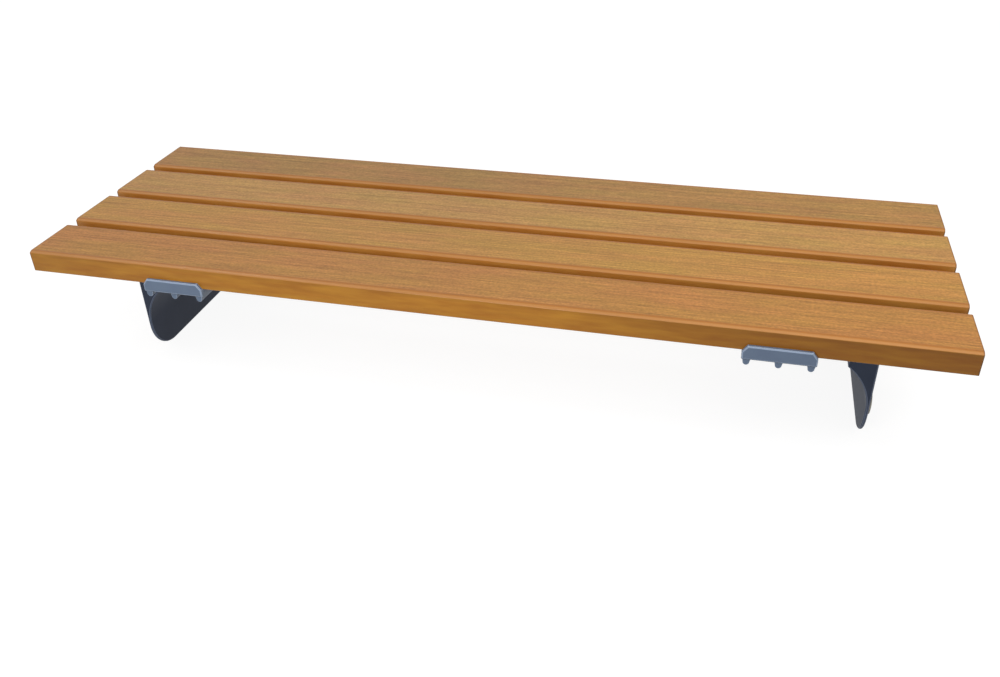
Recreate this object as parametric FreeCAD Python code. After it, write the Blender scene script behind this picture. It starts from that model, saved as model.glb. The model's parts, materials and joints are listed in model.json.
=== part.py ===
import FreeCAD, Part
import os
from math import cos, radians, sin, sqrt

V = FreeCAD.Vector

# A slatted bath board. Four slats lie across two moulded cross-members, and a bracket
# under each end slides in and out to bear on the inside of the bath's wall.
# X runs along the board to the right, Y to the back and Z up. The origin is under the
# middle of the board, at the height of the brackets' feet.

# Slats
board_length = 686.0
slat_names = ["slat_front", "slat_mid_front", "slat_mid_back", "slat_back"]
slat_width = 50.8
slat_gap = 8.6
slat_thickness = 17.0
slat_top_round = 2.0
slat_bottom_round = 0.8

# Cross-members
member_from_end = 121.3
member_width = 48.5
member_web = 3.2
lip_thickness = 3.0
lip_rise = 5.0
lip_drop = 5.2
lip_corner_across = 3.5
lip_corner_down = 4.5
lip_edge_chamfer = 0.6
rib_sides = [-1, 0, 1]
rib_root_width = 6.4
rib_tip_width = 4.4
rib_edge_margin = 0.3
rib_drop = 9.9
rib_end_inset = 0.8
stiffener_thickness = 2.0
stiffener_drop = 3.5

# Slat screws
screw_radius = 2.0
screw_cover = 4.2
screw_head_radius = 4.0
screw_head_height = 2.6
screw_crown_radius = 2.4
screw_hole_clearance = 0.3
pilot_clearance = 0.05
pilot_end_clearance = 0.5

# Clamp bolts, washers and nuts, M6
bolt_radius = 3.0
bolt_length = 25.0
bolt_end_chamfer = 0.8
bolt_tip_clearance = 1.7
bolt_flats = 10.0
bolt_head = 4.0
bolt_boss_radius = 7.5
bolt_hole_clearance = 0.2
head_side_clearance = 0.1
head_top_clearance = 0.3
washer_radius = 9.0
washer_thickness = 1.6
nut_height = 5.0
nut_inset = 0.4
nut_side_clearance = 0.05
thread_clearance = 0.05

# Star knobs
knob_lobes = 5
knob_radius = 15.0
knob_hub_radius = 8.5
knob_hub_height = 5.0
knob_scallop_radius = 7.0
knob_scallop_depth = 4.0
knob_edge_chamfer = 1.4
knob_floor = 5.0

# Brackets
left_leg_from_end = 68.5
right_leg_from_end = 53.7
leg_out_limit = 35.0
leg_width = 170.0
leg_height = 76.2
leg_wall = 2.5
leg_corner_radius = 27.0
leg_edge_chamfer = 0.7
scoop_radius = 42.0
end_wall_reach = 19.5
arm_end_inset = 15.0
arm_end_round = 9.0
arm_thickness = 4.6
arm_root_margin = 7.5
arm_rib_clearance = 0.3
tongue_width = 34.0
tongue_end_margin = 28.0
tongue_root_round = 6.0
tongue_flange = 3.0
slot_side_clearance = 0.3
slot_end_clearance = 0.3
slot_land = 1.6
slot_land_margin = 1.0
slot_scoop_clearance = 0.2
pocket_slot_wall = 8.0
pocket_toe = 1.5
pocket_count = 5
pocket_rib = 2.0

# Rubber pads
leg_pad_height = 20.0
leg_pad_thickness = 2.0
leg_pad_centre = 29.8
leg_pad_end_margin = 3.0
leg_pad_recess = 0.5
rim_pad_length = 30.0
rim_pad_width = 12.0
rim_pad_thickness = 2.0
rim_pad_from_end = 8.0

# One overrun serves every cut that breaks through a face, and edges this near are alike
overrun = 1.0
touch = 0.05
full_turn = 360.0

# Heights and places that follow from the sizes above
half_length = board_length / 2
slat_pitch = slat_width + slat_gap
board_width = slat_pitch * len(slat_names) - slat_gap
rib_pitch = (member_width - rib_root_width) / 2 - rib_edge_margin
rib_bottom = leg_height + arm_rib_clearance
slat_bottom = rib_bottom + rib_drop
slat_top = slat_bottom + slat_thickness
web_bottom = slat_bottom - member_web
screw_top = slat_top - screw_cover
bolt_head_seat = slat_bottom - head_top_clearance - bolt_head
bolt_end = bolt_head_seat - bolt_length
arm_bottom = leg_height - arm_thickness
scoop_axis_x = leg_wall + scoop_radius
scoop_axis_z = arm_bottom - scoop_radius
arm_root = scoop_axis_x + arm_root_margin
land_bottom = arm_bottom - slot_land
land_start = scoop_axis_x - sqrt(scoop_radius ** 2 - (scoop_radius - slot_land) ** 2)
knob_top = land_bottom - washer_thickness
knob_shoulder = knob_top - knob_hub_height
knob_bore_end = bolt_end - bolt_tip_clearance
knob_bottom = knob_bore_end - knob_floor
member_x = member_from_end - half_length
bolt_x = member_x + rib_pitch / 2
bolt_from_end = bolt_x + half_length
bolt_spacing = leg_width - 2 * tongue_end_margin - tongue_width
slot_near = land_start + washer_radius + slot_scoop_clearance
slot_far = bolt_from_end - leg_out_limit
slot_width = 2 * (bolt_radius + slot_side_clearance)
slot_end = bolt_radius + slot_end_clearance
pocket_reach = slot_near - slot_end - pocket_slot_wall


# Shapes that several pieces share
def block(low, high):
    size = V(*high) - V(*low)
    return Part.makeBox(size.x, size.y, size.z, V(*low))


def post(radius, x, y, bottom, top):
    return Part.makeCylinder(radius, top - bottom, V(x, y, bottom))


def prism(points, travel):
    face = Part.Face(Part.makePolygon(points + points[:1]))
    return face.extrude(travel)


def hexagon_post(across_flats, x, y, bottom, top):
    sides = 6
    corner_radius = across_flats / (2 * cos(radians(full_turn / (2 * sides))))
    corners = []
    for side in range(sides):
        angle = radians(full_turn * side / sides)
        corners.append(V(x + corner_radius * cos(angle), y + corner_radius * sin(angle), bottom))
    return prism(corners, V(0, 0, top - bottom))


def line(start, end):
    return Part.LineSegment(start, end).toShape()


def arc(start, middle, end):
    return Part.Arc(start, middle, end).toShape()


def round_ended(centre, along, across, length, width, travel):
    reach = along * (length / 2 - width / 2)
    side = across * (width / 2)
    tip = along * (length / 2)
    edges = [line(centre - reach - side, centre + reach - side),
             arc(centre + reach - side, centre + tip, centre + reach + side),
             line(centre + reach + side, centre - reach + side),
             arc(centre - reach + side, centre - tip, centre - reach - side)]
    return Part.Face(Part.Wire(edges)).extrude(travel)


def turned_profile(points, x, y):
    half_section = Part.Face(Part.makePolygon([V(r, 0, z) for r, z in points + points[:1]]))
    solid = half_section.revolve(V(0, 0, 0), V(0, 0, 1), full_turn)
    solid.translate(V(x, y, 0))
    return solid


def joined(solids):
    return solids[0].multiFuse(solids[1:]).removeSplitter()


def rounded(shape, radius, chosen):
    return shape.makeFillet(radius, [edge for edge in shape.Edges if chosen(edge.BoundBox)])


def chamfered(shape, size, chosen):
    return shape.makeChamfer(size, [edge for edge in shape.Edges if chosen(edge.BoundBox)])


def on_side(shape, side):
    placed = shape.copy()
    if side == "right":
        placed.rotate(V(0, 0, 0), V(0, 0, 1), full_turn / 2)
    return placed


def slat_centres():
    first = (slat_width - board_width) / 2
    return [first + slat_pitch * index for index in range(len(slat_names))]


def screw_places():
    return [(member_x - rib_pitch / 2, y) for y in slat_centres()]


def bolt_places():
    return [(bolt_x, side * bolt_spacing / 2) for side in (-1, 1)]


# Slats: long planks, rounded along their edges, with blind pilot holes below
def slat(centre_y):
    plank = block((-half_length, centre_y - slat_width / 2, slat_bottom),
                  (half_length, centre_y + slat_width / 2, slat_top))
    plank = rounded(plank, slat_top_round,
                    lambda box: box.XLength > slat_width and box.ZMin > slat_top - touch)
    plank = rounded(plank, slat_bottom_round,
                    lambda box: box.XLength > slat_width and box.ZMax < slat_bottom + touch)
    pilot_end = screw_top + pilot_end_clearance
    for x, y in screw_places():
        pilot = post(screw_radius + pilot_clearance, x, y, slat_bottom - overrun, pilot_end)
        for side in ("left", "right"):
            hole = on_side(pilot, side)
            if abs(hole.CenterOfMass.y - centre_y) < slat_width / 2:
                plank = plank.cut(hole)
    return plank


# Cross-members: a thin web with a lip at each end and tapered, round-edged ribs below
def lip(face_y, outward):
    left = member_x - member_width / 2
    right = member_x + member_width / 2
    bottom = slat_bottom - lip_drop
    top = slat_bottom + lip_rise
    outer_y = face_y + outward * lip_thickness
    outline = [V(left, face_y, bottom), V(right, face_y, bottom),
               V(right, face_y, top - lip_corner_down), V(right - lip_corner_across, face_y, top),
               V(left + lip_corner_across, face_y, top), V(left, face_y, top - lip_corner_down)]
    plate = prism(outline, V(0, outer_y - face_y, 0))
    return chamfered(plate, lip_edge_chamfer,
                     lambda box: box.YLength < touch and abs(box.YMin - outer_y) < touch)


def member_rib(centre_x):
    reach = board_width / 2 + lip_thickness - rib_end_inset
    root = V(centre_x, -reach, web_bottom)
    tip = V(centre_x, -reach, rib_bottom + rib_tip_width / 2)
    root_side = V(rib_root_width / 2, 0, 0)
    tip_side = V(rib_tip_width / 2, 0, 0)
    edges = [line(root + root_side, root - root_side), line(root - root_side, tip - tip_side),
             arc(tip - tip_side, V(centre_x, -reach, rib_bottom), tip + tip_side),
             line(tip + tip_side, root + root_side)]
    return Part.Face(Part.Wire(edges)).extrude(V(0, 2 * reach, 0))


def stiffener(gap):
    y = slat_pitch * gap - (slat_gap + board_width) / 2
    return block((member_x - rib_pitch, y - stiffener_thickness / 2, web_bottom - stiffener_drop),
                 (member_x + rib_pitch, y + stiffener_thickness / 2, web_bottom))


def cross_member():
    web = block((member_x - member_width / 2, -board_width / 2, web_bottom),
                (member_x + member_width / 2, board_width / 2, slat_bottom))
    solids = [web, lip(-board_width / 2, -1), lip(board_width / 2, 1)]
    solids += [member_rib(member_x + side * rib_pitch) for side in rib_sides]
    solids += [stiffener(gap) for gap in range(1, len(slat_names))]
    solids += [post(bolt_boss_radius, x, y, leg_height, slat_bottom) for x, y in bolt_places()]
    member = joined(solids)
    above = slat_bottom + overrun
    for x, y in screw_places():
        member = member.cut(post(screw_radius + screw_hole_clearance, x, y, web_bottom - overrun, above))
    for x, y in bolt_places():
        member = member.cut(hexagon_post(bolt_flats + 2 * head_side_clearance, x, y, bolt_head_seat, above))
        member = member.cut(post(bolt_radius + bolt_hole_clearance, x, y, leg_height - overrun, slat_bottom))
    return [member]


# Slat screws: tapered heads below the web, one to a slat, and shanks up into the slats
def slat_screws():
    head_bottom = web_bottom - screw_head_height
    profile = [(0, head_bottom), (screw_crown_radius, head_bottom), (screw_head_radius, web_bottom),
               (screw_radius, web_bottom), (screw_radius, screw_top), (0, screw_top)]
    return [turned_profile(profile, x, y) for x, y in screw_places()]


# Clamp bolts: hexagon heads held in the cross-member's pockets, shanks pointing down
def clamp_bolt(x, y):
    head = hexagon_post(bolt_flats, x, y, bolt_head_seat, bolt_head_seat + bolt_head)
    shank = turned_profile([(0, bolt_head_seat), (bolt_radius, bolt_head_seat),
                            (bolt_radius, bolt_end + bolt_end_chamfer),
                            (bolt_radius - bolt_end_chamfer, bolt_end), (0, bolt_end)], x, y)
    return joined([head, shank])


def clamp_washer(x, y):
    disc = post(washer_radius, x, y, knob_top, land_bottom)
    hole = post(bolt_radius + bolt_hole_clearance, x, y, knob_top - overrun, land_bottom + overrun)
    return disc.cut(hole)


# Star knobs: a round hub under the washer, and below it a lobed grip with chamfered rims
def knob(x, y):
    rim = knob_radius - knob_edge_chamfer
    low_edge, high_edge = knob_bottom + knob_edge_chamfer, knob_shoulder - knob_edge_chamfer
    body = turned_profile([(0, knob_bottom), (rim, knob_bottom), (knob_radius, low_edge),
                           (knob_radius, high_edge), (rim, knob_shoulder), (knob_hub_radius, knob_shoulder),
                           (knob_hub_radius, knob_top), (0, knob_top)], x, y)
    scallop_from_axis = knob_radius + knob_scallop_radius - knob_scallop_depth
    for lobe in range(knob_lobes):
        angle = radians(full_turn * lobe / knob_lobes)
        scallop_x = x + scallop_from_axis * cos(angle)
        scallop_y = y + scallop_from_axis * sin(angle)
        body = body.cut(post(knob_scallop_radius, scallop_x, scallop_y, knob_bottom - overrun, knob_top))
    nut_floor = knob_top - nut_inset - nut_height
    recess = hexagon_post(bolt_flats + 2 * nut_side_clearance, x, y, nut_floor, knob_top + overrun)
    bore = post(bolt_radius + bolt_hole_clearance, x, y, knob_bore_end, nut_floor + overrun)
    return body.cut(recess).cut(bore)


def knob_nut(x, y):
    top = knob_top - nut_inset
    nut = hexagon_post(bolt_flats, x, y, top - nut_height, top)
    return nut.cut(post(bolt_radius + thread_clearance, x, y, top - nut_height - overrun, top + overrun))


# Brackets, drawn with the outer face at X = 0 and the arm towards +X. The shell has a flat
# outer wall, closed ends and a quarter-round scoop on the inside.
def leg_shell():
    front = -leg_width / 2
    mid_reach = scoop_radius / sqrt(2)
    corners = [V(leg_wall, front, scoop_axis_z), V(leg_wall, front, 0),
               V(0, front, 0), V(0, front, leg_height),
               V(arm_root, front, leg_height), V(arm_root, front, arm_bottom),
               V(scoop_axis_x, front, arm_bottom)]
    edges = [line(start, end) for start, end in zip(corners, corners[1:])]
    edges.append(arc(corners[-1], V(scoop_axis_x - mid_reach, front, scoop_axis_z + mid_reach), corners[0]))
    shell = Part.Face(Part.Wire(edges)).extrude(V(0, leg_width, 0))
    shell = rounded(shell, min(leg_corner_radius, scoop_axis_z),
                    lambda box: box.YLength < touch and box.ZMax < touch)
    return chamfered(shell, leg_edge_chamfer, is_leg_rim)


# The rim is the outline of the two faces of the wall, and the scoop's edge on each end
def is_leg_rim(box):
    seam = box.YLength > leg_width / 2 and box.ZMin > touch
    wall_outline = box.XLength < touch and box.XMax < leg_wall + touch and not seam
    scoop_edge = box.YLength < touch and box.XMax > leg_wall + touch and box.ZMin < arm_bottom - touch
    return wall_outline or scoop_edge


# The arm is a plate that ends in two round-ended tongues, each with a flange around its
# underside and a flat land for the washer along its slot
def tongue(y, inset, bottom, top):
    half = tongue_width / 2 - inset
    return joined([block((scoop_axis_x, y - half, bottom), (slot_far, y + half, top)),
                   post(half, slot_far, y, bottom, top)])


def arm_plate():
    half = leg_width / 2 - arm_end_inset
    plate = joined([block((scoop_axis_x, -half, arm_bottom), (arm_root, half, leg_height))]
                   + [tongue(y, 0, arm_bottom, leg_height) for x, y in bolt_places()])
    return rounded(plate, tongue_root_round, lambda box: box.ZLength > arm_thickness / 2
                   and abs(box.XMax - arm_root) < touch and abs(box.YMax) < half - touch)


def tongue_underside(y):
    flange = tongue(y, 0, arm_bottom - tongue_flange, arm_bottom)
    flange = flange.cut(tongue(y, leg_wall, arm_bottom - tongue_flange - overrun, arm_bottom))
    land_half = washer_radius + slot_land_margin
    land = block((pocket_reach, y - land_half, land_bottom), (slot_far, y + land_half, arm_bottom))
    return [flange, land, post(land_half, slot_far, y, land_bottom, arm_bottom)]


def tongue_slot(y):
    length = slot_far - slot_near + 2 * slot_end
    return round_ended(V((slot_near + slot_far) / 2, y, scoop_axis_z), V(1, 0, 0), V(0, 1, 0),
                       length, slot_width, V(0, 0, leg_height - scoop_axis_z + overrun))


# Beyond the end walls the bracket is cut back at both ends, with a rounded inner corner
def arm_end_cuts():
    inner = leg_width / 2 - arm_end_inset
    outer = leg_width / 2 + overrun
    cut = block((end_wall_reach, inner, scoop_axis_z), (arm_root + overrun, outer, leg_height + overrun))
    cut = rounded(cut, arm_end_round, lambda box: box.ZLength > touch and box.XMax < end_wall_reach + touch
                  and box.YMax < inner + touch)
    return [cut, cut.mirror(V(0, 0, 0), V(0, 1, 0))]


# Pockets core out the thick corner from above, between cross ribs
def leg_pockets():
    outer_radius = scoop_radius + leg_wall
    floor_reach = scoop_axis_x - leg_wall - pocket_toe
    floor = scoop_axis_z + sqrt(outer_radius ** 2 - floor_reach ** 2)
    scoop_start = V(scoop_axis_x, -leg_width / 2, scoop_axis_z)
    scoop = Part.makeCylinder(outer_radius, leg_width, scoop_start, V(0, 1, 0))
    top = leg_height + overrun
    end_start, end_stop = leg_wall - leg_width / 2, leg_wall - leg_width / 2 + arm_end_inset - pocket_rib
    end_pocket = block((leg_wall, end_start, floor), (end_wall_reach - leg_wall, end_stop, top))
    pockets = [end_pocket, end_pocket.mirror(V(0, 0, 0), V(0, 1, 0))]
    first = end_stop + pocket_rib
    pitch = (pocket_rib - 2 * first) / pocket_count
    for index in range(pocket_count):
        start = first + pitch * index
        pockets.append(block((leg_wall, start, floor), (pocket_reach, start + pitch - pocket_rib, top)))
    return [pocket.cut(scoop) for pocket in pockets]


def leg():
    solids = [leg_shell(), arm_plate()]
    cutters = arm_end_cuts() + leg_pockets() + [leg_pad_strip(leg_pad_recess, overrun)]
    for x, y in bolt_places():
        solids += tongue_underside(y)
        cutters.append(tongue_slot(y))
    bracket = joined(solids)
    for cutter in cutters:
        bracket = bracket.cut(cutter)
    return bracket


# Pads: a round-ended strip let into the bracket's outer face, and small ones under the ends of
# the front and back slats
def leg_pad_strip(depth, proud):
    return round_ended(V(depth, 0, leg_pad_centre), V(0, 1, 0), V(0, 0, 1),
                       leg_width - 2 * leg_pad_end_margin, leg_pad_height, V(-depth - proud, 0, 0))


def rim_pads():
    x = rim_pad_from_end + rim_pad_length / 2 - half_length
    outer_slats = (slat_centres()[0], slat_centres()[-1])
    return [round_ended(V(x, y, slat_bottom), V(1, 0, 0), V(0, 1, 0), rim_pad_length, rim_pad_width,
                        V(0, 0, -rim_pad_thickness)) for y in outer_slats]


# The pieces at one end of the board, drawn for the left and turned half round for the right
def end_pieces(side, leg_from_end):
    outer_face = V(leg_from_end - half_length, 0, 0)
    pad = leg_pad_strip(leg_pad_recess, leg_pad_thickness - leg_pad_recess)
    pieces = {
        "leg": [leg().translated(outer_face)],
        "leg_pad": [pad.translated(outer_face)],
        "cross_member": cross_member(),
        "slat_screws": slat_screws(),
        "rim_pads": rim_pads(),
        "clamp_bolts": [clamp_bolt(x, y) for x, y in bolt_places()],
        "clamp_washers": [clamp_washer(x, y) for x, y in bolt_places()],
    }
    rows = ["front", "back"] if side == "left" else ["back", "front"]
    for row, (x, y) in zip(rows, bolt_places()):
        pieces[row + "_knob"] = [knob(x, y)]
        pieces[row + "_knob_nut"] = [knob_nut(x, y)]
    return {side + "_" + name: [on_side(solid, side) for solid in solids]
            for name, solids in pieces.items()}


# The whole board
nodes = {name: [slat(centre)] for name, centre in zip(slat_names, slat_centres())}
nodes.update(end_pieces("left", left_leg_from_end))
nodes.update(end_pieces("right", right_leg_from_end))

os.makedirs("parts", exist_ok=True)
for name, solids in nodes.items():
    shape = solids[0] if len(solids) == 1 else Part.makeCompound(solids)
    shape.exportStep("parts/" + name + ".step")
    state = "valid" if shape.isValid() else "NOT VALID"
    print(name, len(shape.Solids), state, round(shape.Volume, 1), "mm3")
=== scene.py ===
import json
from math import cos, pi, radians, sin

import bmesh
import bpy
from mathutils import Matrix, Vector


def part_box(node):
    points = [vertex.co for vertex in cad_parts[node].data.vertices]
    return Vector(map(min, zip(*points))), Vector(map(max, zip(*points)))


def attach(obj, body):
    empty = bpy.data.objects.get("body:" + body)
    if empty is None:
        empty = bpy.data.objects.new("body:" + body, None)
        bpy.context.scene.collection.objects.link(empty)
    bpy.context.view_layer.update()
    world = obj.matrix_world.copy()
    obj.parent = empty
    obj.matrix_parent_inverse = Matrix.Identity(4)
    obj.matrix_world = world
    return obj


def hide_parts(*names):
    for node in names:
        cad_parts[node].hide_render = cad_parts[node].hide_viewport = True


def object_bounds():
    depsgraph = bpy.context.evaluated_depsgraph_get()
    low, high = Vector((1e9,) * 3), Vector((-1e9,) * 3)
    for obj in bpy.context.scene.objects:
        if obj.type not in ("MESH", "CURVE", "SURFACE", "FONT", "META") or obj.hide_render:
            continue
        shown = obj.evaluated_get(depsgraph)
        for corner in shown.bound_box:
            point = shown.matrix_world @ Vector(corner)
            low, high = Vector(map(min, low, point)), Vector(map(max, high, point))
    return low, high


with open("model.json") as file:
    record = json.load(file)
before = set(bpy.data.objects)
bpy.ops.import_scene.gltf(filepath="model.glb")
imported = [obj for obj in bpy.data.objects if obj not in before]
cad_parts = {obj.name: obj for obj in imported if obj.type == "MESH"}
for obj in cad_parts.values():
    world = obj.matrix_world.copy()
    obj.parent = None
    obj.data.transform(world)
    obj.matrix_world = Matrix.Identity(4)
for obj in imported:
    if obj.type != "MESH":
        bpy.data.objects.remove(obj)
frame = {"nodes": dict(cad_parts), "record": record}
cad_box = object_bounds()

# A slatted bath board: four stained slats on two moulded cross-members, with a bracket
# under each end that slides in and out and is clamped by two star knobs.
mm = 0.001
sides = ("left", "right")
rows = ("front", "back")
slats = ("slat_front", "slat_mid_front", "slat_mid_back", "slat_back")

# Slats: a flat brushed face between two planed margins that slope down to a small round
margin_width = 2.6 * mm
margin_drop = 1.2 * mm
margin_crease = 0.4 * mm
margin_crease_facets = 2
slat_edge_round = 0.6 * mm
slat_edge_facets = 4
slat_bottom_round = 0.8 * mm
slat_bottom_facets = 3
slat_end_round = 0.4 * mm
slat_end_facets = 3

# Slat screws
screw_head_height = 2.6 * mm
screw_shank_radius = 2.0 * mm
screw_rim_height = 0.5 * mm
screw_steps = 32
screw_dome_facets = 9
recess_reach = 2.1 * mm
recess_width = 1.0 * mm
recess_depth = 1.5 * mm
recess_taper = 0.5

# Clamp washers
washer_hole_radius = 3.2 * mm
washer_edge = 0.25 * mm
washer_steps = 48

# Moulded pieces: how far each one's sharp edges are softened, and in how many facets
softened_edges = {
    "cross_member": (0.35 * mm, 2),
    "leg": (0.35 * mm, 2),
    "leg_pad": (0.4 * mm, 2),
    "rim_pads": (0.4 * mm, 2),
    "knob": (0.45 * mm, 3),
}

# Points this near each other are one point, edges that turn more than the sharp angle stay
# sharp, and faces that turn less than the flat angle are one face
near = 0.01 * mm
merged = 0.002 * mm
sharp_angle = radians(30)
flat_angle = radians(1)

record = frame["record"]
bodies = record["behaviour"]["bodies"]
body_of_node = {node: body for body, nodes in bodies.items() for node in nodes}
slot_of_node = {part["node"]: part["material_slot"] for part in record["subparts"]}


# Colours are written as sRGB hex codes, and the materials take them as linear values
def colour(code):
    channels = [int(code[start:start + 2], 16) / 255 for start in (1, 3, 5)]
    return [c / 12.92 if c <= 0.04045 else ((c + 0.055) / 1.055) ** 2.4 for c in channels] + [1]


# A shader node with its settings, and with each input given a value or linked to another's output
def add(tree, kind, inputs=None, **settings):
    made = tree.nodes.new("ShaderNode" + kind)
    for name, value in settings.items():
        setattr(made, name, value)
    for socket, value in (inputs or {}).items():
        if isinstance(value, bpy.types.NodeSocket):
            tree.links.new(value, made.inputs[socket])
        else:
            made.inputs[socket].default_value = value
    return made


def new_material(name):
    material = bpy.data.materials.new(name)
    material.use_nodes = True
    material.node_tree.nodes.clear()
    return material, material.node_tree


def finish_material(tree, inputs):
    shader = add(tree, "BsdfPrincipled", inputs)
    add(tree, "OutputMaterial", {"Surface": shader.outputs["BSDF"]})


# Settings of a Mix node that blends two colours, or multiplies one by another. Its inputs are
# the share at 0, two plain numbers at 2 and 3, and two colours at 6 and 7.
blend = {"data_type": "RGBA"}
multiply = {"data_type": "RGBA", "blend_type": "MULTIPLY"}

# Noise gathers round a half, so each of these ranges draws it out to a full contrast
soft_contrast = {"From Min": 0.3, "From Max": 0.7}
medium_contrast = {"From Min": 0.32, "From Max": 0.68}
firm_contrast = {"From Min": 0.35, "From Max": 0.65}

# Stained hardwood: the flat face is brushed along the grain, which leaves fine lines in it. The
# margins, sides and ends are smooth, with the stain warmer and more mottled there.

# Each pattern has its run along the slat, its width across it and its depth. The dashes, lines
# and pores of the brushing are drawn coarser than the real ones, which would be too fine to show.
wood_patterns = {
    "dashes": ((12 * mm, 1.35 * mm, 1.35 * mm), {"Detail": 2}),
    "lines": ((70 * mm, 1.5 * mm, 1.5 * mm), {"Detail": 1}),
    "pores": ((2 * mm, 1.7 * mm, 1.7 * mm), {"Detail": 2}),
    "fibres": ((60 * mm, 3.5 * mm, 3.5 * mm), {"Detail": 2}),
    "patches": ((75 * mm, 16 * mm, 16 * mm), {"Detail": 2}),
    "blotches": ((34 * mm, 5 * mm, 5 * mm), {"Detail": 4}),
    "rings": ((500 * mm, 2.4 * mm, 3.6 * mm), {"Detail": 2, "Distortion": 0.4}),
}
line_share = 0.55
brushing_contrast = {"To Min": 0.73, "To Max": 1.26}
pore_contrast = {"To Min": 0.84, "To Max": 1.15}
fibre_contrast = {"To Min": 0.95, "To Max": 1.05}

# The brushing fades out inside the edge of the flat face. Past that edge a thin darker line
# gives way to the margin, and the sawn ends start just inside the slat's length.
brushing_fades = 2.0 * mm
brushing_stops = 1.2 * mm
dark_line_start = 0.1 * mm
dark_line_end = 1.2 * mm
sawn_end_start = 1.2 * mm
sawn_end_full = 0.4 * mm
# Painted shade: each side is darkened towards its top, just under the margin
side_shade_start = 3.6 * mm
side_shade_end = 0.8 * mm
side_shade = 0.88

# How far a face looks up, by the height of its normal
level = {"From Min": 0.9, "From Max": 0.99}
sloping = {"From Min": 0.15, "From Max": 0.55}
facing_up = {"From Min": 0.2, "From Max": 0.7}

dark_line_tone = "#A66A2A"
margin_tone = "#B67D42"
sawn_end_tones = ("#7E4F24", "#9C6830")

# Each slat takes the stain a little differently on its top. The front slat's sides have their own tones,
# and the inner slats' sides, facing into the gaps, are painted lighter as painted light against the shade
# there
top_tones = {
    "slat_front": ("#B37B46", "#AF7F43"),
    "slat_mid_front": ("#B8844A", "#B48847"),
    "slat_mid_back": ("#B88853", "#B48C50"),
    "slat_back": ("#A97B4A", "#A57F48"),
}
front_side_tones = ("#AE6E1C", "#C4872A")
inner_side_painted_light_tones = ("#CC8436", "#DA9A46")
pattern_step = (0.37, 0.11, 0.23)

# Painted light and shade: towards its right end the top is painted warmer and lighter, as light, and the
# front is painted darker, as shade
unchanged = (1, 1, 1, 1)
far_top_painted_light = (1.21, 1.17, 0.96, 1)
far_front_painted_shade = (0.67, 0.62, 0.46, 1)
painted_top_light_span = {"From Min": -50 * mm, "From Max": 300 * mm}
painted_side_shade_span = {"From Min": 70 * mm, "From Max": 220 * mm}

wood_gloss = 0.35
smooth_roughness = 0.36
brushed_roughness = 0.58
brushed_depth = 0.08 * mm
brushed_strength = 0.6


# Each pattern of the wood, as a number from 0 to 1 over the slat
def stretched_patterns(tree, place, shift):
    made = {}
    for name, (size, settings) in wood_patterns.items():
        scale = [1 / length for length in size]
        stretched = add(tree, "Mapping", {"Vector": place, "Location": shift, "Scale": scale})
        noise = add(tree, "TexNoise", {"Vector": stretched.outputs["Vector"], "Scale": 1, **settings})
        made[name] = noise.outputs["Fac"]
    return made


# Where the brushed face, the margins and the sawn ends are, each as 1 on it and 0 off it
def slat_regions(tree, apart, normal, low, high):
    across = add(tree, "Math", {0: apart["Y"], 1: (low.y + high.y) / 2}, operation="SUBTRACT")
    across = add(tree, "Math", {0: across.outputs[0]}, operation="ABSOLUTE").outputs[0]
    along = add(tree, "Math", {0: apart["X"]}, operation="ABSOLUTE").outputs[0]
    flat_half = (high.y - low.y) / 2 - margin_width
    within = add(tree, "MapRange", {"Value": across, "From Min": flat_half - brushing_fades,
                                    "From Max": flat_half - brushing_stops, "To Min": 1, "To Max": 0})
    upward = add(tree, "MapRange", {"Value": normal["Z"], **level})
    brushed = add(tree, "Math", {0: within.outputs[0], 1: upward.outputs[0]}, operation="MULTIPLY")
    margin = add(tree, "MapRange", {"Value": across, "From Min": flat_half + dark_line_start,
                                    "From Max": flat_half + dark_line_end})
    sawn = add(tree, "MapRange", {"Value": along, "From Min": high.x - sawn_end_start,
                                  "From Max": high.x - sawn_end_full})
    return brushed.outputs[0], margin.outputs[0], sawn.outputs[0]


# The brushed face: dashes and long lines cut by short pores, on stain that lies in soft patches
def brushed_face(tree, patterns, tones):
    patchy = add(tree, "MapRange", {"Value": patterns["patches"], **firm_contrast}).outputs[0]
    stain = add(tree, "Mix", {0: patchy, 6: colour(tones[0]), 7: colour(tones[1])}, **blend).outputs[2]
    grain = add(tree, "Mix", {0: line_share, 2: patterns["dashes"], 3: patterns["lines"]}).outputs[0]
    lined = add(tree, "MapRange", {"Value": grain, **soft_contrast, **brushing_contrast}).outputs[0]
    pored = add(tree, "MapRange", {"Value": patterns["pores"], **soft_contrast, **pore_contrast})
    lined = add(tree, "Math", {0: lined, 1: pored.outputs[0]}, operation="MULTIPLY").outputs[0]
    return grain, add(tree, "Mix", {0: 1.0, 6: stain, 7: lined}, **multiply).outputs[2]


# The planed edges: mottled sides, darker at the top as painted shade, below margins edged by a thin darker
# line
def planed_edge(tree, patterns, apart, normal, margin, high, tones):
    mottled = add(tree, "MapRange", {"Value": patterns["blotches"], **medium_contrast}).outputs[0]
    side = add(tree, "Mix", {0: mottled, 6: colour(tones[0]), 7: colour(tones[1])}, **blend).outputs[2]
    shoulder = high.z - margin_drop
    shaded = add(tree, "MapRange", {"Value": apart["Z"], "From Min": shoulder - side_shade_start,
                                    "From Max": shoulder - side_shade_end,
                                    "To Min": 1, "To Max": side_shade}).outputs[0]
    side = add(tree, "Mix", {0: 1.0, 6: side, 7: shaded}, **multiply).outputs[2]
    smooth = add(tree, "Mix", {0: margin, 6: colour(dark_line_tone), 7: colour(margin_tone)}, **blend)
    slope = add(tree, "MapRange", {"Value": normal["Z"], **sloping}).outputs[0]
    return add(tree, "Mix", {0: slope, 6: side, 7: smooth.outputs[2]}, **blend).outputs[2]


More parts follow.
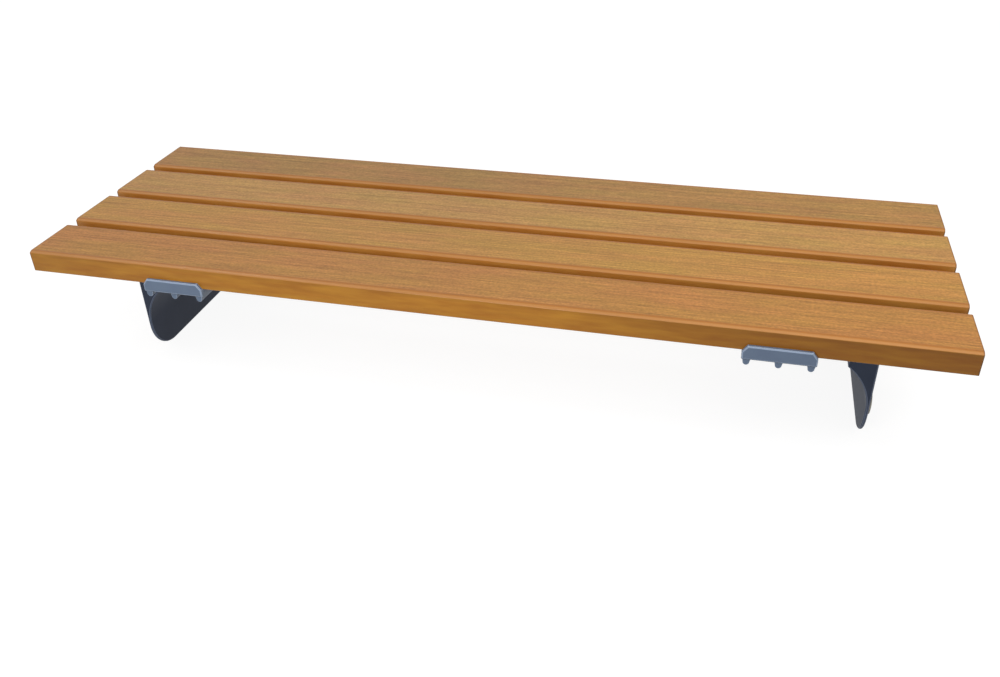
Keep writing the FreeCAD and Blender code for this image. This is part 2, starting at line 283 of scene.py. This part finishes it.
# The sawn ends: growth rings cut across, darker than the rest because end grain drinks the stain
def sawn_end(tree, patterns):
    ringed = add(tree, "MapRange", {"Value": patterns["rings"], **firm_contrast}).outputs[0]
    early, late = sawn_end_tones
    return add(tree, "Mix", {0: ringed, 6: colour(early), 7: colour(late)}, **blend).outputs[2]


# Painted light and shade along the slat: its top painted lighter and warmer towards the right end, and its
# front side darker there
def painted_light_and_shade(tree, apart, normal, far_side_painted_shade):
    on_side = add(tree, "MapRange", {"Value": apart["X"], **painted_side_shade_span}).outputs[0]
    far_side = add(tree, "Mix", {0: on_side, 6: unchanged, 7: far_side_painted_shade}, **blend).outputs[2]
    on_top = add(tree, "MapRange", {"Value": apart["X"], **painted_top_light_span}).outputs[0]
    far_top = add(tree, "Mix", {0: on_top, 6: unchanged, 7: far_top_painted_light}, **blend).outputs[2]
    upward = add(tree, "MapRange", {"Value": normal["Z"], **facing_up}).outputs[0]
    return add(tree, "Mix", {0: upward, 6: far_side, 7: far_top}, **blend).outputs[2]


def stained_hardwood(slat, shift, side_tones, far_side_painted_shade):
    low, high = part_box(slat)
    material, tree = new_material("stained_hardwood_" + slat)
    coordinates = add(tree, "TexCoord").outputs
    apart = add(tree, "SeparateXYZ", {"Vector": coordinates["Object"]}).outputs
    normal = add(tree, "SeparateXYZ", {"Vector": coordinates["Normal"]}).outputs
    patterns = stretched_patterns(tree, coordinates["Object"], shift)
    brushed, margin, sawn = slat_regions(tree, apart, normal, low, high)

    grain, face = brushed_face(tree, patterns, top_tones[slat])
    edge = planed_edge(tree, patterns, apart, normal, margin, high, side_tones)
    base = add(tree, "Mix", {0: brushed, 6: edge, 7: face}, **blend).outputs[2]
    base = add(tree, "Mix", {0: sawn, 6: base, 7: sawn_end(tree, patterns)}, **blend).outputs[2]
    grown = add(tree, "MapRange", {"Value": patterns["fibres"], **soft_contrast, **fibre_contrast})
    base = add(tree, "Mix", {0: 1.0, 6: base, 7: grown.outputs[0]}, **multiply).outputs[2]
    # Painted light and shade: lighter on top and darker down the front towards the right end
    painted_lighting = painted_light_and_shade(tree, apart, normal, far_side_painted_shade)
    base = add(tree, "Mix", {0: 1.0, 6: base, 7: painted_lighting}, **multiply).outputs[2]

    relief = add(tree, "Math", {0: grain, 1: brushed}, operation="MULTIPLY").outputs[0]
    bump = add(tree, "Bump", {"Height": relief, "Strength": brushed_strength, "Distance": brushed_depth})
    rough = add(tree, "MapRange", {"Value": brushed, "To Min": smooth_roughness,
                                   "To Max": brushed_roughness})
    finish_material(tree, {"Base Color": base, "Roughness": rough.outputs[0],
                           "Specular IOR Level": wood_gloss, "Normal": bump.outputs["Normal"]})
    return material


# A moulded plastic or rubber: slightly mottled, with a fine spark-eroded texture from its mould,
# and a painted highlight in a paler colour along its softened edges. The texture is drawn
# coarser than the real one, which would be too fine to show.
mould_cloud = 18 * mm
mould_texture = 0.5 * mm
mould_relief = 0.02 * mm
mould_strength = 0.4
mould_roughness_spread = 0.06
usual_gloss = 0.5


def moulded(name, dark, light, painted_edge_highlight, roughness, gloss=usual_gloss):
    material, tree = new_material(name)
    place = add(tree, "TexCoord").outputs["Object"]
    cloud = add(tree, "TexNoise", {"Vector": place, "Scale": 1 / mould_cloud, "Detail": 2}).outputs["Fac"]
    cloud = add(tree, "MapRange", {"Value": cloud, **soft_contrast}).outputs[0]
    pits = add(tree, "TexNoise", {"Vector": place, "Scale": 1 / mould_texture, "Detail": 2}).outputs["Fac"]
    base = add(tree, "Mix", {0: cloud, 6: colour(dark), 7: colour(light)}, **blend).outputs[2]
    # The painted highlight: the softened edges' faces take the paler colour
    edge = add(tree, "Attribute", attribute_name="edge").outputs["Fac"]
    base = add(tree, "Mix", {0: edge, 6: base, 7: colour(painted_edge_highlight)}, **blend).outputs[2]
    rough = add(tree, "MapRange", {"Value": pits, "To Min": roughness - mould_roughness_spread,
                                   "To Max": roughness + mould_roughness_spread})
    bump = add(tree, "Bump", {"Height": pits, "Strength": mould_strength, "Distance": mould_relief})
    finish_material(tree, {"Base Color": base, "Roughness": rough.outputs[0],
                           "Specular IOR Level": gloss, "Normal": bump.outputs["Normal"]})
    return material


# Bright metal, drawn or turned on a machine: faint tool lines and slightly uneven gloss. The
# lines are long along Z where the metal was drawn, and short where it was turned about Z.
metal_roughness = {"To Min": 0.28, "To Max": 0.34}
drawn_lines = (0.4 * mm, 0.4 * mm, 6 * mm)
turned_lines = (6 * mm, 6 * mm, 0.5 * mm)


def bright_metal(name, dark, light, lines):
    material, tree = new_material(name)
    place = add(tree, "TexCoord").outputs["Object"]
    scale = [1 / width for width in lines]
    along = add(tree, "Mapping", {"Vector": place, "Scale": scale}).outputs["Vector"]
    tooled = add(tree, "TexNoise", {"Vector": along, "Scale": 1, "Detail": 2}).outputs["Fac"]
    tooled = add(tree, "MapRange", {"Value": tooled, **soft_contrast}).outputs[0]
    rough = add(tree, "MapRange", {"Value": tooled, **metal_roughness}).outputs[0]
    base = add(tree, "Mix", {0: tooled, 6: colour(dark), 7: colour(light)}, **blend).outputs[2]
    finish_material(tree, {"Base Color": base, "Metallic": 1.0, "Roughness": rough})
    return material


# The cross-members are of a satin, light blue-grey nylon, and the knobs of a satin black one. The
# brackets' polypropylene is a dull dark slate, and the pads' rubber is cream and matt. The steel
# is drawn along the screws and bolts, and the brass is turned about the nuts' axis.
# The third colour of each moulding is the painted highlight along its softened edges
finishes = {
    "cross_member": moulded("moulded_nylon_blue_grey", "#64748D", "#6B7C93", "#9AABC3", roughness=0.42),
    "bracket": moulded("moulded_polypropylene_slate", "#333B4C", "#3A4254", "#6E788D", roughness=0.55,
                       gloss=0.2),
    "pad": moulded("moulded_rubber_cream", "#D9D2BE", "#E2DCCB", "#E8E3D5", roughness=0.62),
    "knob": moulded("moulded_nylon_black", "#26282B", "#2E3135", "#464A50", roughness=0.40),
    "steel": bright_metal("drawn_stainless_steel", "#B9BCBE", "#CDCFD0", drawn_lines),
    "brass": bright_metal("turned_brass", "#C9A24C", "#D6B363", turned_lines),
}
for index, slat in enumerate(slats):
    shift = [step * index for step in pattern_step]
    if slat == "slat_front":
        finishes[slat] = stained_hardwood(slat, shift, front_side_tones, far_front_painted_shade)
    else:
        # The inner slats' sides take the lighter tones, painted light against the shade in the gaps
        finishes[slat] = stained_hardwood(slat, shift, inner_side_painted_light_tones, unchanged)


# A finished piece takes the place of its node and rides on the body that carries the node
def piece(name, mesh, node, finish):
    for polygon in mesh.polygons:
        polygon.use_smooth = True
    mesh.set_sharp_from_angle(angle=sharp_angle)
    made = bpy.data.objects.new(name, mesh)
    bpy.context.scene.collection.objects.link(made)
    made.data.materials.clear()
    made.data.materials.append(finish)
    weighted = made.modifiers.new("Weighted normals", "WEIGHTED_NORMAL")
    weighted.keep_sharp = True
    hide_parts(node)
    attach(made, body_of_node[node])


def as_mesh(name, bm):
    bmesh.ops.recalc_face_normals(bm, faces=bm.faces)
    mesh = bpy.data.meshes.new(name)
    bm.to_mesh(mesh)
    bm.free()
    return mesh


def bevel(bm, edges, width, segments):
    made = bmesh.ops.bevel(bm, geom=edges, offset=width, affect="EDGES", segments=segments,
                           profile=0.5, material=-1)
    return made["faces"]


# An outline of distances from the piece's axis and heights, spun round the axis
def spun(bm, place, outline, steps, closed=False):
    points = [bm.verts.new((place.x + r, place.y, z)) for r, z in outline]
    following = points[1:] + points[:1] if closed else points[1:]
    edges = [bm.edges.new(pair) for pair in zip(points, following)]
    bmesh.ops.spin(bm, geom=points + edges, cent=place, axis=(0, 0, 1), angle=2 * pi, steps=steps,
                   use_merge=True)


# The edges whose ends both pass a test, and which run along the slat or across it
def edges_where(bm, test, lengthwise):
    return [edge for edge in bm.edges if all(test(vert.co) for vert in edge.verts)
            and (abs(edge.verts[0].co.x - edge.verts[1].co.x) > near) == lengthwise]


def slat_board(node):
    low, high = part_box(node)
    shoulder = high.z - margin_drop
    outline = [(low.y, low.z), (low.y, shoulder), (low.y + margin_width, high.z),
               (high.y - margin_width, high.z), (high.y, shoulder), (high.y, low.z)]
    bm = bmesh.new()
    profile = bm.faces.new([bm.verts.new((low.x, y, z)) for y, z in outline])
    grown = bmesh.ops.extrude_face_region(bm, geom=[profile])["geom"]
    far_end = [vert for vert in grown if isinstance(vert, bmesh.types.BMVert)]
    bmesh.ops.translate(bm, vec=(high.x - low.x, 0, 0), verts=far_end)
    bmesh.ops.recalc_face_normals(bm, faces=bm.faces)
    for height, width, facets in ((shoulder, slat_edge_round, slat_edge_facets),
                                  (high.z, margin_crease, margin_crease_facets),
                                  (low.z, slat_bottom_round, slat_bottom_facets)):
        bevel(bm, edges_where(bm, lambda co: abs(co.z - height) < near, True), width, facets)
    for end in (low.x, high.x):
        ends = edges_where(bm, lambda co: abs(co.x - end) < near, False)
        bevel(bm, ends, slat_end_round, slat_end_facets)
    piece(node + "_board", as_mesh(node + "_board", bm), node, finishes[node])


# A moulded piece: its exact shape, with the sharp edges softened as a mould leaves them
def softened(node, kind):
    width, facets = softened_edges[kind]
    bm = bmesh.new()
    bm.from_mesh(frame["nodes"][node].data)
    bmesh.ops.remove_doubles(bm, verts=bm.verts, dist=merged)
    bmesh.ops.dissolve_limit(bm, angle_limit=flat_angle, verts=bm.verts, edges=bm.edges)
    sharp = [edge for edge in bm.edges if edge.is_manifold and edge.calc_face_angle() > sharp_angle]
    # The faces of the softened edges are marked for the painted highlight that the material gives them
    painted_edge_highlight = bm.faces.layers.float.new("edge")
    for face in bevel(bm, sharp, width, facets):
        face[painted_edge_highlight] = 1
    bmesh.ops.remove_doubles(bm, verts=bm.verts, dist=merged)
    piece(node + "_softened", as_mesh(node + "_softened", bm), node, finishes[slot_of_node[node]])


# Slat screws: a domed head with a cross recess for the driver, and a shank up into the slat
def screw_body(bm, place, radius, top):
    seat = place.z + screw_head_height
    rim = seat - screw_rim_height
    dome = [pi / 2 * step / screw_dome_facets for step in range(screw_dome_facets + 1)]
    outline = [(radius * sin(turn), rim - (rim - place.z) * cos(turn)) for turn in dome]
    outline += [(radius, seat), (screw_shank_radius, seat), (screw_shank_radius, top), (0, top)]
    spun(bm, place, outline, screw_steps)


def cross_recess(bm, place):
    for turn in (0, pi / 2):
        made = bmesh.ops.create_cube(bm, size=1)["verts"]
        for vert in made:
            narrowing = recess_taper if vert.co.z > 0 else 1
            height = recess_depth if vert.co.z > 0 else -recess_depth
            vert.co = Vector((vert.co.x * 2 * recess_reach * narrowing, vert.co.y * recess_width, height))
        bmesh.ops.rotate(bm, verts=made, cent=(0, 0, 0), matrix=Matrix.Rotation(turn, 3, "Z"))
        bmesh.ops.translate(bm, verts=made, vec=place)


def slat_screws(node):
    low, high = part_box(node)
    radius = (high.x - low.x) / 2
    heads, recesses = bmesh.new(), bmesh.new()
    for slat in slats:
        slat_low, slat_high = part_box(slat)
        place = Vector(((low.x + high.x) / 2, (slat_low.y + slat_high.y) / 2, low.z))
        screw_body(heads, place, radius, high.z)
        cross_recess(recesses, place)
    bmesh.ops.remove_doubles(heads, verts=heads.verts, dist=near)
    blank = bpy.data.objects.new("blank", as_mesh("blank", heads))
    cutter = bpy.data.objects.new("cutter", as_mesh("cutter", recesses))
    for made in (blank, cutter):
        bpy.context.scene.collection.objects.link(made)
    cut = blank.modifiers.new("Recess", "BOOLEAN")
    cut.object = cutter
    cut.operation = "DIFFERENCE"
    cut.solver = "EXACT"
    cut.use_self = True
    driven = blank.evaluated_get(bpy.context.evaluated_depsgraph_get())
    mesh = bpy.data.meshes.new_from_object(driven)
    mesh.name = node + "_driven"
    for made in (blank, cutter):
        bpy.data.objects.remove(made)
    piece(node + "_driven", mesh, node, finishes[slot_of_node[node]])


# Clamp washers: pressed rings whose rims are eased, one between each knob and its bracket
def clamp_washers(node):
    low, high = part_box(node)
    radius = (high.x - low.x) / 2
    outline = [(washer_hole_radius, low.z), (radius - washer_edge, low.z), (radius, low.z + washer_edge),
               (radius, high.z - washer_edge), (radius - washer_edge, high.z), (washer_hole_radius, high.z)]
    bm = bmesh.new()
    for middle in (low.y + radius, high.y - radius):
        spun(bm, Vector((low.x + radius, middle, low.z)), outline, washer_steps, closed=True)
    piece(node + "_pressed", as_mesh(node + "_pressed", bm), node, finishes[slot_of_node[node]])


for slat in slats:
    slat_board(slat)

for node, obj in frame["nodes"].items():
    if node not in slats:
        obj.data.materials.clear()
        obj.data.materials.append(finishes[slot_of_node[node]])

for side in sides:
    slat_screws(side + "_slat_screws")
    for kind in ("cross_member", "leg", "leg_pad", "rim_pads"):
        softened(f"{side}_{kind}", kind)
    clamp_washers(side + "_clamp_washers")
    for row in rows:
        softened(f"{side}_{row}_knob", "knob")


# Camera, at the photograph's angle: it looks down at the board from the front, a little right
# of its middle. The lens and the sensor's width are in millimetres.
camera_place = (0.1778, -0.6659, 0.4337)
camera_yaw = radians(14.787)
camera_pitch = radians(32.283)
camera_roll = radians(-1.42)
camera_lens = 34.4
camera_sensor = 36


def camera():
    data = bpy.data.cameras.new("camera")
    data.sensor_width = camera_sensor
    data.lens = camera_lens
    made = bpy.data.objects.new("camera", data)
    turn = Matrix.Rotation(camera_yaw, 4, "Z")
    turn = turn @ Matrix.Rotation(pi / 2 - camera_pitch, 4, "X")
    turn = turn @ Matrix.Rotation(camera_roll, 4, "Z")
    made.matrix_world = Matrix.Translation(camera_place) @ turn
    bpy.context.scene.collection.objects.link(made)
    bpy.context.scene.camera = made


# Studio: a white floor and surround, and large soft lamps. The white is only seen, directly or
# in a reflection, and the light on the board comes from the lamps and a grey fill. Places and
# sizes are in metres, and powers in watts.
floor_reach = 4
floor_clearance = 0.1 * mm
floor_grey = (0.22, 0.22, 0.22, 1)
floor_glow = 0.9
fill_strength = 0.55
white_strength = 1.0
softboxes = {
    "overhead_softbox": {"place": (0.45, -0.45, 1.7), "aim": (0.05, 0, 0.1), "size": 1.4, "power": 12.5},
    "front_softbox": {"place": (-0.08, -0.62, 0.27), "aim": (-0.05, -0.11, 0.09), "size": 0.3,
                      "power": 1.25},
    "left_softbox": {"place": (-0.9, 0.1, 1.4), "aim": (-0.17, -0.1, 0.1), "size": 0.35, "power": 1.6},
}


def seen_directly(tree):
    rays = add(tree, "LightPath").outputs
    seen = add(tree, "Math", {0: rays["Is Camera Ray"], 1: rays["Is Glossy Ray"]}, operation="MAXIMUM")
    seen = add(tree, "Math", {0: seen.outputs[0], 1: rays["Is Transmission Ray"]}, operation="MAXIMUM")
    return seen.outputs[0]


def floor():
    bm = bmesh.new()
    bmesh.ops.create_grid(bm, x_segments=1, y_segments=1, size=floor_reach)
    bmesh.ops.translate(bm, vec=(0, 0, cad_box[0].z - floor_clearance), verts=bm.verts)
    mesh = bpy.data.meshes.new("floor")
    bm.to_mesh(mesh)
    bm.free()
    made = bpy.data.objects.new("floor", mesh)
    bpy.context.scene.collection.objects.link(made)
    material, tree = new_material("floor_paper")
    paper = add(tree, "BsdfDiffuse", {"Color": floor_grey}).outputs["BSDF"]
    strength = add(tree, "Math", {0: seen_directly(tree), 1: floor_glow}, operation="MULTIPLY").outputs[0]
    lift = add(tree, "Emission", {"Strength": strength}).outputs["Emission"]
    lit = add(tree, "AddShader", {0: paper, 1: lift}).outputs[0]
    clear = add(tree, "BsdfTransparent").outputs["BSDF"]
    below = add(tree, "NewGeometry").outputs["Backfacing"]
    shown = add(tree, "MixShader", {0: below, 1: lit, 2: clear}).outputs[0]
    add(tree, "OutputMaterial", {"Surface": shown})
    made.data.materials.append(material)


def surround():
    world = bpy.data.worlds.new("surround")
    bpy.context.scene.world = world
    world.use_nodes = True
    tree = world.node_tree
    tree.nodes.clear()
    fill = add(tree, "Background", {"Strength": fill_strength}).outputs["Background"]
    white = add(tree, "Background", {"Strength": white_strength}).outputs["Background"]
    shown = add(tree, "MixShader", {0: seen_directly(tree), 1: fill, 2: white}).outputs[0]
    add(tree, "OutputWorld", {"Surface": shown})


def softbox(name, place, aim, size, power):
    data = bpy.data.lights.new(name, "AREA")
    data.shape = "DISK"
    data.size = size
    data.energy = power
    made = bpy.data.objects.new(name, data)
    made.location = place
    made.rotation_mode = "QUATERNION"
    made.rotation_quaternion = (Vector(aim) - Vector(place)).to_track_quat("-Z", "Y")
    bpy.context.scene.collection.objects.link(made)


camera()
floor()
surround()
for name, settings in softboxes.items():
    softbox(name, **settings)
bpy.context.scene.view_settings.view_transform = "Standard"
